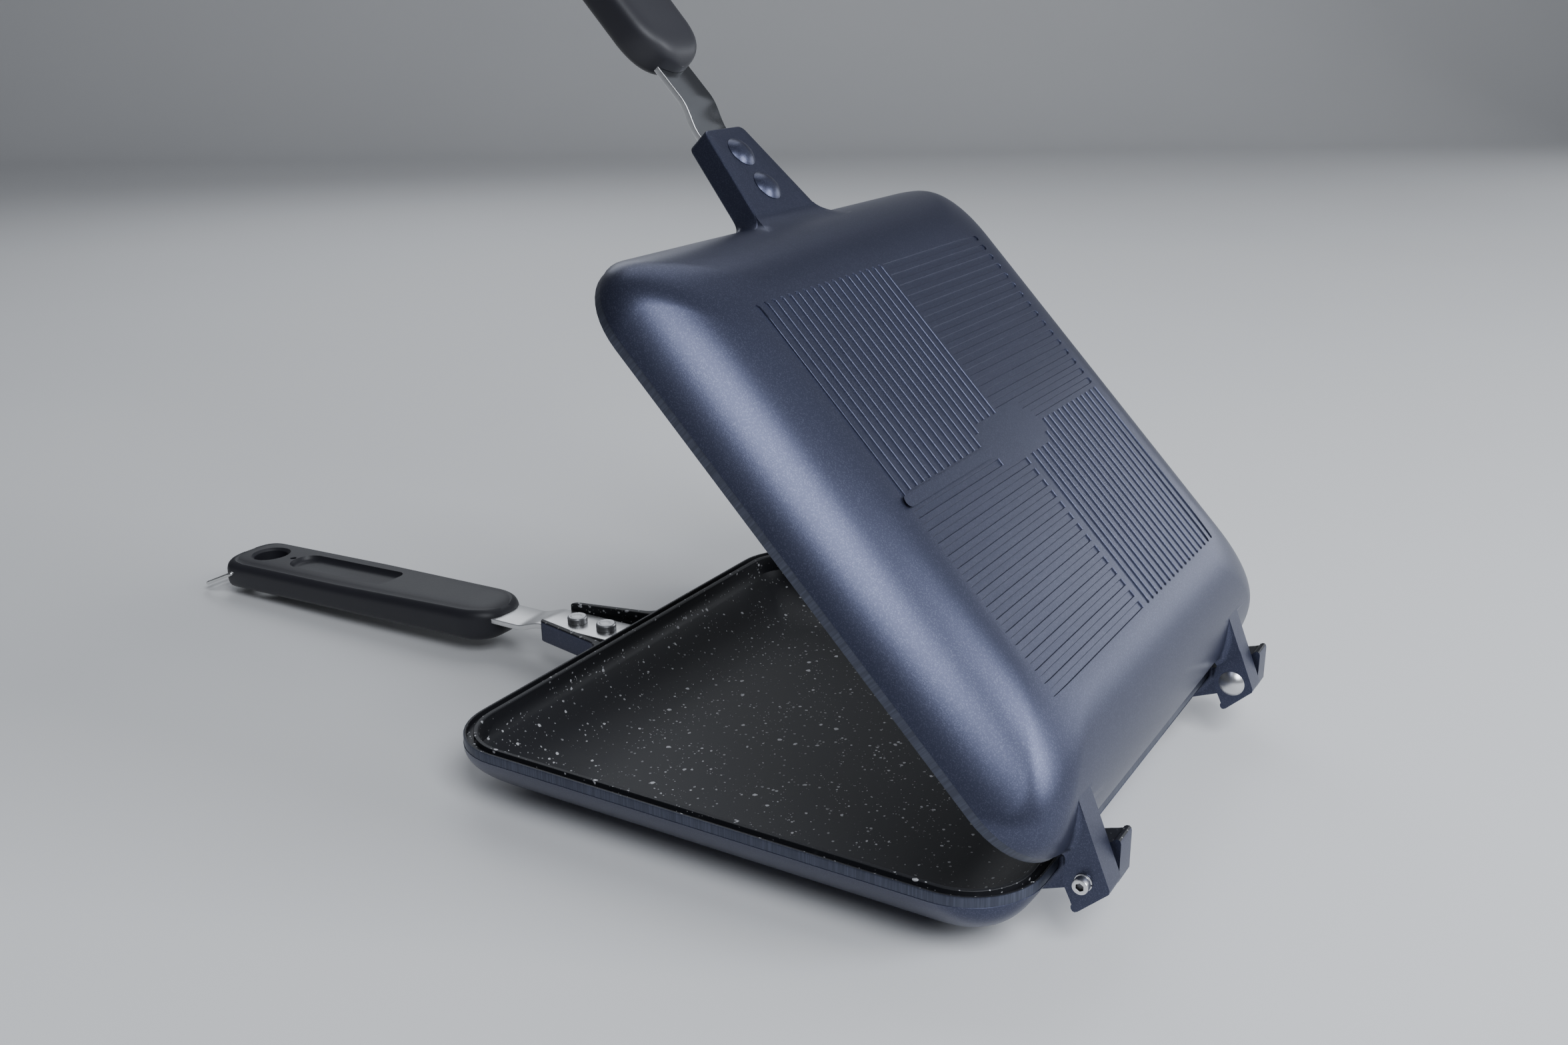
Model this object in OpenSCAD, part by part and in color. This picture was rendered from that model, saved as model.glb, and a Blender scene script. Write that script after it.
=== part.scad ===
// Double sided flip pan: two identical rectangular castings face to face on a
// pair of hinge bolts, each with its own strap handle.  Millimetres, +Z up.
// Origin: centre of the lower pan's flat bottom face.  +X runs from the
// handles to the hinges, Y runs along the hinge axis.

/* [Pan castings] */
// half length of a rim along X
pan_a = 119; // [90:0.5:150]
// half width of a rim along Y
pan_b = 125; // [95:0.5:160]
// height of one casting, flat bottom to rim
pan_h = 27.5; // [20:0.5:45]
// height of the upright machined band under the rim
band_h = 3.8; // [2:0.1:6]
// radius of the big bend between wall and bottom
bend_r = 44; // [30:0.5:60]
// wall and bottom thickness
wall_t = 3.2; // [2:0.1:5]
// width of the flat rim land
land_w = 6; // [4:0.1:9]
// corner radius at the rim
corner_r = 28; // [15:0.5:40]
// gap left between each rim and the parting plane
rim_gap = 0.1; // [0.05:0.05:0.5]

/* [Rim groove and gasket] */
// distance of the groove from the rim's outer edge
groove_in = 1.3; // [0.8:0.1:2]
// groove width
groove_w = 2.8; // [2:0.1:4]
// groove depth
groove_d = 2.2; // [1:0.1:3]
// clearance of the gasket at each side of its groove
gasket_gap = 0.1; // [0.05:0.05:0.5]
// how far the gasket stands out of its groove
gasket_out = 1.2; // [0.5:0.1:2]

/* [Bottom pattern] */
// spacing of the slots
slot_pitch = 5.05; // [4:0.05:7]
// width of the slots that run along X
slot_w_x = 2.2; // [1:0.1:4]
// width of the slots that run along Y
slot_w_y = 2.6; // [1:0.1:4]
// depth of the slots
slot_d = 0.6; // [0.3:0.1:1.5]
// bare margin between the pattern and the rim's edge along X
margin_x = 41; // [30:0.5:60]
// bare margin between the pattern and the rim's edge along Y
margin_y = 39.5; // [30:0.5:60]
// half length of the bare place in the middle of the pattern
bare_x = 9.5; // [5:0.5:30]
// half width of the bare place in the middle of the pattern
bare_y = 22; // [5:0.5:40]
// gap between neighbouring fields of slots
field_gap = 1.5; // [1:0.1:5]

/* [Hinges] */
// hinge axis, distance beyond the rim's edge along X
hinge_off = 12; // [11:0.1:20]
// seat plane of the socket screws, distance in from the rim's side edge
hinge_edge = 29.5; // [20:0.5:60]
// length of a hinge bolt between its two seat planes
bolt_len = 23; // [15:0.1:40]
// thickness of the spacer washer between the two brackets
spacer_t = 2.2; // [1:0.1:4]
// clearance left at each face of a bracket
side_gap = 0.05; // [0.02:0.01:0.3]
// reach of a bracket beyond the hinge axis
bracket_end = 7.3; // [6.5:0.1:9]
// slope of a bracket's lower edge, degrees
bracket_deg = 20; // [5:1:30]
// how much thicker a bracket's root is than its milled tip
mill_t = 0.5; // [0.2:0.1:1.5]
// where the milled tip begins, distance beyond the rim's edge
mill_x = 2.5; // [1.5:0.1:5]
// how far the lid is open in the stored pose, degrees
open_deg = 46.4; // [0:0.1:104]

/* [Hinge bolts] */
// diameter of the barrel that both brackets turn on
barrel_d = 5; // [4:0.1:8]
// radial clearance of the barrel in the brackets
barrel_gap = 0.05; // [0.01:0.01:0.1]
// diameter of the barrel's domed head
dome_d = 10.4; // [8:0.1:14]
// height of the barrel's domed head
dome_h = 2.4; // [1:0.1:4]
// diameter of the screw shank
screw_d = 3; // [2:0.1:5]
// radial clearance of the screw in the barrel
screw_gap = 0.02; // [0.01:0.01:0.1]
// diameter of the socket head
head_d = 5.5; // [4:0.1:9]
// height of the socket head
head_h = 3; // [2:0.1:5]
// length of the screw in the barrel
screw_len = 15; // [8:0.1:20]
// width across flats of the hexagon socket
socket_af = 2.5; // [1.5:0.1:4]
// outside diameter of the split spring washer
washer_d = 6.1; // [5:0.1:10]
// thickness of the split spring washer
washer_t = 0.8; // [0.5:0.1:2]
// outside diameter of the spacer washer
spacer_d = 11; // [8:0.1:16]

/* [Handle brackets] */
// length of the handle bracket beyond the rim's edge
chan_len = 41; // [36:0.5:60]
// half width of the bracket at its outer end
chan_hw = 13.8; // [12:0.1:20]
// half width of the bracket where it meets the pan
chan_hw_root = 21.8; // [16:0.1:30]
// lower face of the bracket's web
web_z0 = 16.4; // [10:0.1:22]
// upper face of the web, the seat of the strap
web_z1 = 20.6; // [14:0.1:25]
// top of the bracket's side walls
chan_top = 26.4; // [20:0.1:27]
// thickness of the side walls
chan_t = 3.4; // [2:0.1:5]

/* [Straps and rivets] */
// width of the stainless strap
strap_w = 20; // [12:0.5:26]
// thickness of the strap
strap_t = 2.5; // [1.5:0.1:4]
// drop of the strap between bracket and grip
strap_drop = 3.7; // [0:0.1:8]
// length of the strap's double bend, which starts at the bracket's end
strap_bend = 17; // [10:0.5:25]
// clearance between the strap's inner end and the rim's edge
strap_end = 3.5; // [2.5:0.1:6]
// distance of the first rivet from the bracket's outer end
rivet_in = 12; // [7:0.5:16]
// spacing of the two rivets
rivet_pitch = 16.5; // [12:0.5:18]
// diameter of the rivet shank
rivet_d = 5; // [3:0.1:8]
// radial clearance of a rivet in its holes
rivet_gap = 0.05; // [0.01:0.01:0.2]
// diameter of the outer rivet dome
rivet_dome_d = 13; // [7:0.1:14]
// height of the outer rivet dome
rivet_dome_h = 2.6; // [1:0.1:4]
// diameter of the inner rivet button
button_d = 9.2; // [7:0.1:14]
// height of the inner rivet button above the strap
button_h = 3.3; // [1:0.1:4]

/* [Grips] */
// bare strap between the bracket's end and the grip's nose
neck = 28.1; // [20:0.1:50]
// length of the grip
grip_len = 185.2; // [150:0.1:240]
// length of the grip's rounded nose
nose_len = 19.6; // [10:0.1:25]
// length of the grip's rounded far end
tail_len = 10.9; // [6:0.1:16]
// half width at the nose
grip_w0 = 17.6; // [14:0.1:25]
// half width at the middle
grip_w1 = 19.8; // [14:0.1:25]
// half width at the far end
grip_w2 = 19.7; // [14:0.1:25]
// half thickness at the nose
grip_t0 = 8.8; // [7:0.1:15]
// half thickness at the middle
grip_t1 = 8.1; // [5:0.1:13]
// half thickness at the far end
grip_t2 = 8.1; // [4:0.1:12]
// height of the grip's axis at the nose
grip_z0 = 15.5; // [14:0.1:18]
// height of the grip's axis at the middle
grip_z1 = 13.7; // [13:0.1:18]
// height of the grip's axis at the far end
grip_z2 = 11.4; // [10:0.1:17]
// length of the strap inside the grip
tang_len = 68; // [40:1:90]
// clearance around the strap inside the grip
tang_gap = 0.1; // [0.02:0.01:0.3]
// diameter of the hanging hole
hang_d = 17; // [8:0.5:20]
// hanging hole, distance from the grip's far end
hang_in = 20.3; // [14:0.1:30]
// chamfer at both ends of the hanging hole
hang_chamfer = 1.8; // [0.5:0.1:3]
// diameter of the small blind hole
pip_d = 3; // [2:0.1:4]
// depth of the small blind hole
pip_depth = 4; // [1:0.1:6]
// blind hole, distance from the grip's far end
pip_in = 37.3; // [33:0.1:45]
// middle of the thumb recess, distance from the grip's far end
recess_in = 76.3; // [60:0.1:110]
// length of the thumb recess
recess_len = 66; // [40:1:80]
// width of the thumb recess
recess_w = 19; // [10:0.5:26]
// deepest point of the thumb recess
recess_d = 2.2; // [0.5:0.1:4]

/* [Latch bail] */
// wire diameter of the bail
wire_d = 2; // [1.2:0.1:3]
// pivot of the bail, distance from the grip's far end
bail_in = 12.8; // [11:0.1:16]
// height of the bail's pivot above the grip's axis
bail_high = 2; // [0:0.1:4]
// length of the bail from pivot to crossbar
bail_len = 22.7; // [15:0.1:40]
// angle of the bail below the level in the stored pose
bail_deg = 24; // [0:1:60]
// clearance between the bail's legs and the grip's sides
bail_side = 0.4; // [0.2:0.1:2]
// bend radius of the bail's outer corners
bail_bend = 3; // [2:0.1:6]
// bend radius of the wire beside its pivot holes
bail_foot = 1.5; // [1.2:0.1:3]
// depth of the pivot holes, measured from the wire centres
bail_pin = 6; // [3:0.1:10]
// radial clearance of the wire in its pivot holes
bail_gap = 0.05; // [0.01:0.01:0.1]

/* [Hidden] */
$fn = 64;
eps = 0.01;
corner_n = 8;
corner_fall = 5;
corner_waist = 40;
rim_arc_n = 16;
hinge_x = pan_a + hinge_off;
hinge_z = pan_h;
hinge_out = pan_b - hinge_edge;
hinge_in = hinge_out - bolt_len;
bracket_w = (bolt_len - spacer_t) / 2 - 2 * side_gap;
inner_y = hinge_in + side_gap;
outer_y = hinge_out - side_gap - bracket_w;
bore_r = barrel_d / 2 + barrel_gap;
chan_x = pan_a + chan_len;
rivets = [chan_x - rivet_in, chan_x - rivet_in - rivet_pitch];
strap_low = web_z1 - strap_drop;
grip_x0 = chan_x + neck;
grip_x1 = grip_x0 + grip_len;
grip_mid = (grip_len + nose_len - tail_len) / 2;
grip_n = 32;
grip_e = 3.8;
tang_x = grip_x0 + tang_len;
hang_x = grip_x1 - hang_in;
bail_x = grip_x1 - bail_in;
bail_z = grip_z(bail_x) + bail_high;
bail_hw = grip_w(bail_x) + bail_side + wire_d / 2;
// centre of the big bend: height above the rim plane, and inset from the rim's edge
wall_c = bend_r - pan_h;
wall_i = sqrt(bend_r * bend_r - pow(band_h + wall_c, 2));

// outline of a rounded rectangle, half sizes a and b, corner radius r
function rr(a, b, r, n) = [for (q = [0:3]) for (i = [0:n])
  let(t = q * 90 + i * 90 / n, sx = (q == 0 || q == 3) ? 1 : -1, sy = q < 2 ? 1 : -1)
  [sx * (a - r) + r * cos(t), sy * (b - r) + r * sin(t)]];

// how far the outside and the inside of the wall lean in at depth d below the rim
function lean(d) = d <= band_h ? 0 : wall_i - sqrt(max(0, bend_r * bend_r - pow(d + wall_c, 2)));
function lean_in(d) = max(land_w, wall_i
  - sqrt(max(0, pow(bend_r - wall_t, 2) - pow(min(d, pan_h - wall_t) + wall_c, 2))));

// corner radius at depth d: tightest half way down
function corner(d) = let(t = max(0, (d - band_h) / (pan_h - band_h)))
  corner_r - corner_fall * t - corner_waist * t * (1 - t);

// a slice of the shell, h high
module slice(a, b, r, z, h) {
  translate([0, 0, z])
    linear_extrude(height = h)
      polygon(rr(a, b, r, corner_n));
}

module shell_outside() {
  hull() {
    slice(pan_a, pan_b, corner_r, pan_h - band_h, band_h - rim_gap);
    for (t = [0.12, 0.28, 0.46, 0.64, 0.8, 0.92, 1])
      let(d = band_h + t * (pan_h - band_h))
        slice(pan_a - lean(d), pan_b - lean(d), corner(d), pan_h - d, eps);
  }
}

module shell_inside() {
  hull() {
    slice(pan_a - land_w, pan_b - land_w, corner_r - land_w, pan_h - band_h, band_h + 1);
    for (t = [0.2, 0.38, 0.56, 0.72, 0.86, 0.95, 1])
      let(d = band_h + t * (pan_h - wall_t - band_h))
        slice(pan_a - lean_in(d), pan_b - lean_in(d), corner(d) - wall_t, pan_h - d, eps);
  }
}

module rim_ring(inset, w, z, h) {
  translate([0, 0, z])
    linear_extrude(height = h)
      difference() {
        polygon(rr(pan_a - inset, pan_b - inset, corner_r - inset, rim_arc_n));
        polygon(rr(pan_a - inset - w, pan_b - inset - w, corner_r - inset - w, rim_arc_n));
      }
}

// a slot along X from x0 to x1, round at its outer end x0
module slot_x(x0, x1, y) {
  translate([min(x0, x1), y - slot_w_x / 2, -1])
    cube([abs(x1 - x0), slot_w_x, 1 + slot_d]);
  translate([x0, y, -1])
    cylinder(d = slot_w_x, h = 1 + slot_d, $fn = 24);
}

// a slot along Y from y0 to y1, round at its outer end y0
module slot_y(y0, y1, x) {
  translate([x - slot_w_y / 2, min(y0, y1), -1])
    cube([slot_w_y, abs(y1 - y0), 1 + slot_d]);
  translate([x, y0, -1])
    cylinder(d = slot_w_y, h = 1 + slot_d, $fn = 24);
}

// two fields of slots along X and two along Y, round a bare place in the middle
module bottom_pattern() {
  xe = pan_a - margin_x - slot_w_x / 2;
  ye = pan_b - margin_y - slot_w_y / 2;
  rows = floor(ye / slot_pitch);
  columns = floor((xe - field_gap - slot_w_y / 2) / slot_pitch);
  for (s = [-1, 1]) {
    for (i = [0:rows])
      let(y = ye - i * slot_pitch)
        slot_x(-s * xe, -s * (y > bare_y ? field_gap : bare_x), s * y);
    for (j = [0:columns])
      let(x = field_gap + slot_w_y / 2 + j * slot_pitch)
        slot_y(s * ye, s * (x < bare_x ? bare_y : field_gap), s * x);
  }
}

// hinge bracket from y0 to y0 + w, side profile in X and Z
module hinge_bracket(y0, w) {
  h = hinge_z;
  e = hinge_x + bracket_end;
  root = pan_a - 15;
  low = h - 5.8;
  translate([0, y0 + w, 0])
    rotate([90, 0, 0])
      linear_extrude(height = w)
        polygon([[root, low - (e - 1 - root) * tan(bracket_deg)], [e - 1, low], [e, low + 1.3],
          [e, h + 9], [e - 0.3, h + 10], [e - 0.9, h + 10.5], [e - 1.8, h + 10.4],
          [e - 3, h + 9.4], [e - 4.5, h + 8.6], [e - 9.2, h + 7.1], [e - 15.1, h + 1.4],
          [e - 16, h - rim_gap], [root, h - rim_gap]]);
}

// the tip of the inner bracket is milled thinner than its root
module milled_face() {
  translate([pan_a + mill_x, -inner_y, 0])
    cube([hinge_off + bracket_end, mill_t + 1, 2 * pan_h]);
}

module hinge_bore(y0) {
  translate([hinge_x, y0 - 1, hinge_z])
    rotate([-90, 0, 0])
      cylinder(r = bore_r, h = bracket_w + 2);
}

// plan of the handle bracket: sides drawn in by t, end drawn out by over, end corners cut by c
module bracket_plan(t, over, c) {
  under = 7;
  x0 = chan_x + over;
  x1 = pan_a - under;
  slope = (chan_hw_root - chan_hw) / chan_len;
  y0 = chan_hw - t - slope * over;
  y1 = chan_hw_root - t + slope * under;
  polygon([[-x0, c - y0], [c - x0, -y0], [-x1, -y1], [-x1, y1], [c - x0, y0], [-x0, y0 - c]]);
}

// channel shaped bracket that carries the handle
module handle_bracket() {
  translate([0, 0, web_z0])
    linear_extrude(height = chan_top - web_z0)
      bracket_plan(0, 0, 1.6);
}

module handle_channel() {
  translate([0, 0, web_z1])
    linear_extrude(height = pan_h)
      bracket_plan(chan_t, 2, 1);
}

module casting() {
  difference() {
    union() {
      difference() {
        handle_bracket();
        handle_channel();
      }
      shell_outside();
      hinge_bracket(-inner_y - bracket_w, bracket_w + mill_t);
      hinge_bracket(outer_y, bracket_w);
    }
    milled_face();
    shell_inside();
    rim_ring(groove_in, groove_w, pan_h - rim_gap - groove_d, groove_d + 1);
    bottom_pattern();
    hinge_bore(-inner_y - bracket_w);
    hinge_bore(outer_y);
    for (x = rivets)
      translate([-x, 0, web_z0 - 1])
        cylinder(r = rivet_d / 2 + rivet_gap, h = web_z1 - web_z0 + 2);
  }
}

// lower face of the strap from the tang inwards
function strap_line() = concat(
  [[-tang_x, strap_low], [-chan_x - strap_bend, strap_low]],
  [for (i = [1:8]) let(t = i / 8)
    [(strap_bend - 1) * t - chan_x - strap_bend, strap_low + strap_drop * (1 - cos(180 * t)) / 2]],
  [[-pan_a - strap_end, web_z1]]);

module strap() {
  p = strap_line();
  n = len(p);
  difference() {
    rotate([90, 0, 0])
      linear_extrude(height = strap_w, center = true)
        polygon(concat(p, [for (i = [n - 1:-1:0]) p[i] + [0, strap_t]]));
    for (x = rivets)
      translate([-x, 0, web_z1 - 1])
        cylinder(r = rivet_d / 2 + rivet_gap, h = strap_t + 2);
  }
}

// points of a dome of radius r and height h over the plane z, tip first
function dome(r, h, z) = let(s = (r * r + h * h) / (2 * h))
  [for (i = [1:8]) let(a = asin(r / s) * i / 8) [s * sin(a), z - h + s - s * cos(a)]];

module rivet(x) {
  top = web_z1 + strap_t;
  b = button_d / 2;
  translate([-x, 0, 0])
    rotate_extrude()
      polygon(concat([[0, web_z0 - rivet_dome_h]], dome(rivet_dome_d / 2, rivet_dome_h, web_z0),
        [[rivet_d / 2, web_z0], [rivet_d / 2, top], [b, top], [b, top + button_h - 1],
         [b - 0.3, top + button_h - 0.4], [b - 1, top + button_h - 0.1], [0, top + button_h]]));
}

// half sizes and height of the grip at x, by three stations: nose, middle and far end
function station(x, v0, v1, v2) =
  let(s = x - grip_x0, s2 = grip_len - tail_len)
  s < grip_mid ? v0 + (v1 - v0) * max(0, s - nose_len) / (grip_mid - nose_len)
               : v1 + (v2 - v1) * min(1, (s - grip_mid) / (s2 - grip_mid));
function nose(x) = max(0, 1 - (x - grip_x0) / nose_len);
function tail(x) = max(0, 1 - (grip_x1 - x) / tail_len);
function grip_w(x) = station(x, grip_w0, grip_w1, grip_w2)
  * sqrt(max(0.0004, 1 - pow(nose(x), 2))) * sqrt(max(0.01, 1 - pow(tail(x), 1.9)));
function grip_t(x) = station(x, grip_t0, grip_t1, grip_t2)
  * sqrt(max(0.04, 1 - pow(nose(x), 3.9))) * sqrt(max(0.2, 1 - pow(tail(x), 4)));
function grip_z(x) = station(x, grip_z0, grip_z1, grip_z2);
function grip_ring(x) = [for (i = [0:grip_n - 1]) let(t = i * 360 / grip_n, c = cos(t), s = sin(t))
  [grip_w(x) * sign(c) * pow(abs(c), 2 / grip_e), grip_z(x) + grip_t(x) * sign(s) * pow(abs(s), 2 / grip_e)]];

module grip_body() {
  hull() {
    for (x = concat([for (t = [0, 0.04, 0.13, 0.3, 0.56, 1]) grip_x0 + t * nose_len],
        [grip_x0 + grip_mid],
        [for (t = [0, 0.4, 0.72, 0.93, 1]) grip_x1 - tail_len + t * tail_len]))
      translate([-x, 0, 0])
        rotate([90, 0, 90])
          linear_extrude(height = eps)
            polygon(grip_ring(x));
  }
}

// a round hole down through the grip at x, chamfered at both ends
module hanging_hole(x) {
  top = grip_z(x) + grip_t(x);
  bottom = grip_z(x) - grip_t(x);
  c = hang_chamfer;
  translate([-x, 0, 0]) {
    cylinder(d = hang_d, h = 2 * top);
    translate([0, 0, top - c])
      cylinder(r1 = hang_d / 2, r2 = hang_d / 2 + 2 * c, h = 2 * c);
    translate([0, 0, bottom - c])
      cylinder(r1 = hang_d / 2 + 2 * c, r2 = hang_d / 2, h = 2 * c);
  }
}

// a shallow dish in the grip's upper face, cut by a stretched ball
module thumb_recess(x) {
  ball = 6;
  k = sqrt(1 - pow(1 - recess_d / ball, 2));
  fall = atan((grip_z1 + grip_t1 - grip_z2 - grip_t2) / (grip_len / 2));
  translate([-x, 0, grip_z(x) + grip_t(x) + ball - recess_d])
    rotate([0, -fall, 0])
      scale([recess_len / 2 / k, recess_w / 2 / k, ball])
        sphere(r = 1, $fn = 48);
}

module grip() {
  pip_x = grip_x1 - pip_in;
  difference() {
    grip_body();
    translate([-tang_x - tang_gap, -strap_w / 2 - tang_gap, strap_low - tang_gap])
      cube([tang_len + neck, strap_w + 2 * tang_gap, strap_t + 2 * tang_gap]);
    hanging_hole(hang_x);
    translate([-pip_x, 0, grip_z(pip_x) + grip_t(pip_x) - pip_depth])
      cylinder(d = pip_d, h = pip_depth + 2, $fn = 24);
    thumb_recess(grip_x1 - recess_in);
    for (s = [-1, 1])
      translate([-bail_x, s * (bail_hw + 2), bail_z])
        rotate([s * 90, 0, 0])
          cylinder(r = wire_d / 2 + bail_gap, h = bail_pin + 2.3, $fn = 32);
  }
}

// wire bail in its own plane: pivots on the Y axis, crossbar at -X
module bail_wire() {
  r = wire_d / 2;
  b = bail_bend;
  translate([-bail_len, 0, 0])
    rotate([90, 0, 0])
      cylinder(r = r, h = 2 * (bail_hw - b) + 2 * eps, center = true, $fn = 32);
  for (s = [-1, 1]) {
    translate([-bail_len + b, s * (bail_hw - b), 0])
      rotate([0, 0, s > 0 ? 90 : 180])
        rotate_extrude(angle = 90, $fn = 48)
          translate([b, 0])
            circle(r = r, $fn = 24);
    translate([-bail_len + b - eps, s * bail_hw, 0])
      rotate([0, 90, 0])
        cylinder(r = r, h = bail_len - b - bail_foot + 2 * eps, $fn = 32);
    translate([-bail_foot, s * (bail_hw - bail_foot), 0])
      rotate([0, 0, s > 0 ? 0 : 270])
        rotate_extrude(angle = 90, $fn = 48)
          translate([bail_foot, 0])
            circle(r = r, $fn = 24);
    translate([0, s * (bail_hw - bail_foot), 0])
      rotate([s * 90, 0, 0])
        cylinder(r = r, h = bail_pin - bail_foot, $fn = 32);
  }
}

// hinge bolt parts along +Z, from the seat of the domed head outwards
module barrel_nut() {
  end = bolt_len - 2 * side_gap;
  difference() {
    rotate_extrude()
      polygon(concat([[0, -dome_h]], dome(dome_d / 2, dome_h, 0),
        [[barrel_d / 2, 0], [barrel_d / 2, end], [0, end]]));
    translate([0, 0, bolt_len - screw_len - 2])
      cylinder(r = screw_d / 2 + screw_gap, h = bolt_len);
  }
}

module socket_screw() {
  z0 = bolt_len + washer_t;
  edge = 0.4;
  difference() {
    rotate_extrude()
      polygon([[0, bolt_len - screw_len], [screw_d / 2, bolt_len - screw_len], [screw_d / 2, z0],
        [head_d / 2, z0], [head_d / 2, z0 + head_h - edge], [head_d / 2 - edge, z0 + head_h],
        [0, z0 + head_h]]);
    translate([0, 0, z0 + head_h / 2])
      cylinder(d = socket_af / cos(30), h = head_h, $fn = 6);
  }
}

module spring_washer() {
  split = 0.6;
  translate([0, 0, bolt_len])
    difference() {
      cylinder(d = washer_d, h = washer_t);
      translate([0, 0, -1])
        cylinder(d = screw_d + 0.2, h = washer_t + 2);
      translate([0, -split / 2, -1])
        cube([washer_d, split, washer_t + 2]);
    }
}

module spacer() {
  translate([0, 0, bracket_w + 2 * side_gap])
    difference() {
      cylinder(d = spacer_d, h = spacer_t);
      translate([0, 0, -1])
        cylinder(r = bore_r, h = spacer_t + 2);
    }
}

module at_near() {
  translate([hinge_x, -hinge_in, hinge_z])
    rotate([90, 0, 0])
      children();
}

module at_far() {
  translate([hinge_x, hinge_in, hinge_z])
    rotate([-90, 0, 0])
      children();
}

// the upper pan is the lower one turned over and swung open about the hinge
module lid() {
  translate([hinge_x, 0, hinge_z])
    rotate([0, open_deg, 0])
      translate([-hinge_x, 0, -hinge_z])
        translate([0, 0, 2 * pan_h])
          rotate([180, 0, 0])
            children();
}

module lower_pan() {
  color([0.36, 0.38, 0.42]) casting();
}

module upper_pan() {
  color([0.36, 0.38, 0.42]) lid() casting();
}

module rim_gasket() {
  color([0.14, 0.14, 0.15])
    lid()
      rim_ring(groove_in + gasket_gap, groove_w - 2 * gasket_gap,
        pan_h - rim_gap - groove_d + gasket_gap, groove_d - gasket_gap + gasket_out);
}

module lower_strap() {
  color([0.78, 0.78, 0.76]) strap();
}

module upper_strap() {
  color([0.78, 0.78, 0.76]) lid() strap();
}

module lower_rivet_outer() {
  color([0.7, 0.7, 0.69]) rivet(rivets[0]);
}

module lower_rivet_inner() {
  color([0.7, 0.7, 0.69]) rivet(rivets[1]);
}

module upper_rivet_outer() {
  color([0.45, 0.47, 0.5]) lid() rivet(rivets[0]);
}

module upper_rivet_inner() {
  color([0.45, 0.47, 0.5]) lid() rivet(rivets[1]);
}

module lower_grip() {
  color([0.09, 0.09, 0.1]) grip();
}

module upper_grip() {
  color([0.09, 0.09, 0.1]) lid() grip();
}

module latch_bail() {
  color([0.82, 0.82, 0.8])
    translate([-bail_x, 0, bail_z])
      rotate([0, -bail_deg, 0])
        bail_wire();
}

module near_barrel_nut() {
  color([0.85, 0.85, 0.83]) at_near() barrel_nut();
}

module near_socket_screw() {
  color([0.8, 0.8, 0.78]) at_near() socket_screw();
}

module near_spring_washer() {
  color([0.7, 0.7, 0.7]) at_near() spring_washer();
}

module near_spacer() {
  color([0.75, 0.75, 0.73]) at_near() spacer();
}

module far_barrel_nut() {
  color([0.85, 0.85, 0.83]) at_far() barrel_nut();
}

module far_socket_screw() {
  color([0.8, 0.8, 0.78]) at_far() socket_screw();
}

module far_spring_washer() {
  color([0.7, 0.7, 0.7]) at_far() spring_washer();
}

module far_spacer() {
  color([0.75, 0.75, 0.73]) at_far() spacer();
}

lower_pan();
upper_pan();
rim_gasket();
lower_strap();
upper_strap();
lower_rivet_outer();
lower_rivet_inner();
upper_rivet_outer();
upper_rivet_inner();
lower_grip();
upper_grip();
latch_bail();
near_barrel_nut();
near_socket_screw();
near_spring_washer();
near_spacer();
far_barrel_nut();
far_socket_screw();
far_spring_washer();
far_spacer();
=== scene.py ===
import math
import bmesh
import bpy
from mathutils import Matrix, Vector


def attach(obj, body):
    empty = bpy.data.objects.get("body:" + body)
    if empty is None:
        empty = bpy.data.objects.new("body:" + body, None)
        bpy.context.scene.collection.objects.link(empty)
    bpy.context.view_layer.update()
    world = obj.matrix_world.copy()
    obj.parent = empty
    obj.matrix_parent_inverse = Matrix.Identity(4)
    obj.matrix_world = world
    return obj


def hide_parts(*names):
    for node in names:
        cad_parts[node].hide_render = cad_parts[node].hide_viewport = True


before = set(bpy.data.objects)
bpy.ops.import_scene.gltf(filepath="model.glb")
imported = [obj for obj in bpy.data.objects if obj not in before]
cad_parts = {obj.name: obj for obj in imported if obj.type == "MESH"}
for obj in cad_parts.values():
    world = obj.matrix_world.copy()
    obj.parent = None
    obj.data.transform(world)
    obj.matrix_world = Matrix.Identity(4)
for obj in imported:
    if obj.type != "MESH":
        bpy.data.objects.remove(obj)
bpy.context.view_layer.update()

mm = 0.001  # everything below is worked out in millimetres and built in metres


# ---- small helpers for modelling

def pickNothing():
    if bpy.context.mode != "OBJECT":
        bpy.ops.object.mode_set(mode="OBJECT")
    bpy.ops.object.select_all(action="DESELECT")


def pick(piece):
    pickNothing()
    piece.select_set(True)
    bpy.context.view_layer.objects.active = piece


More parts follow.
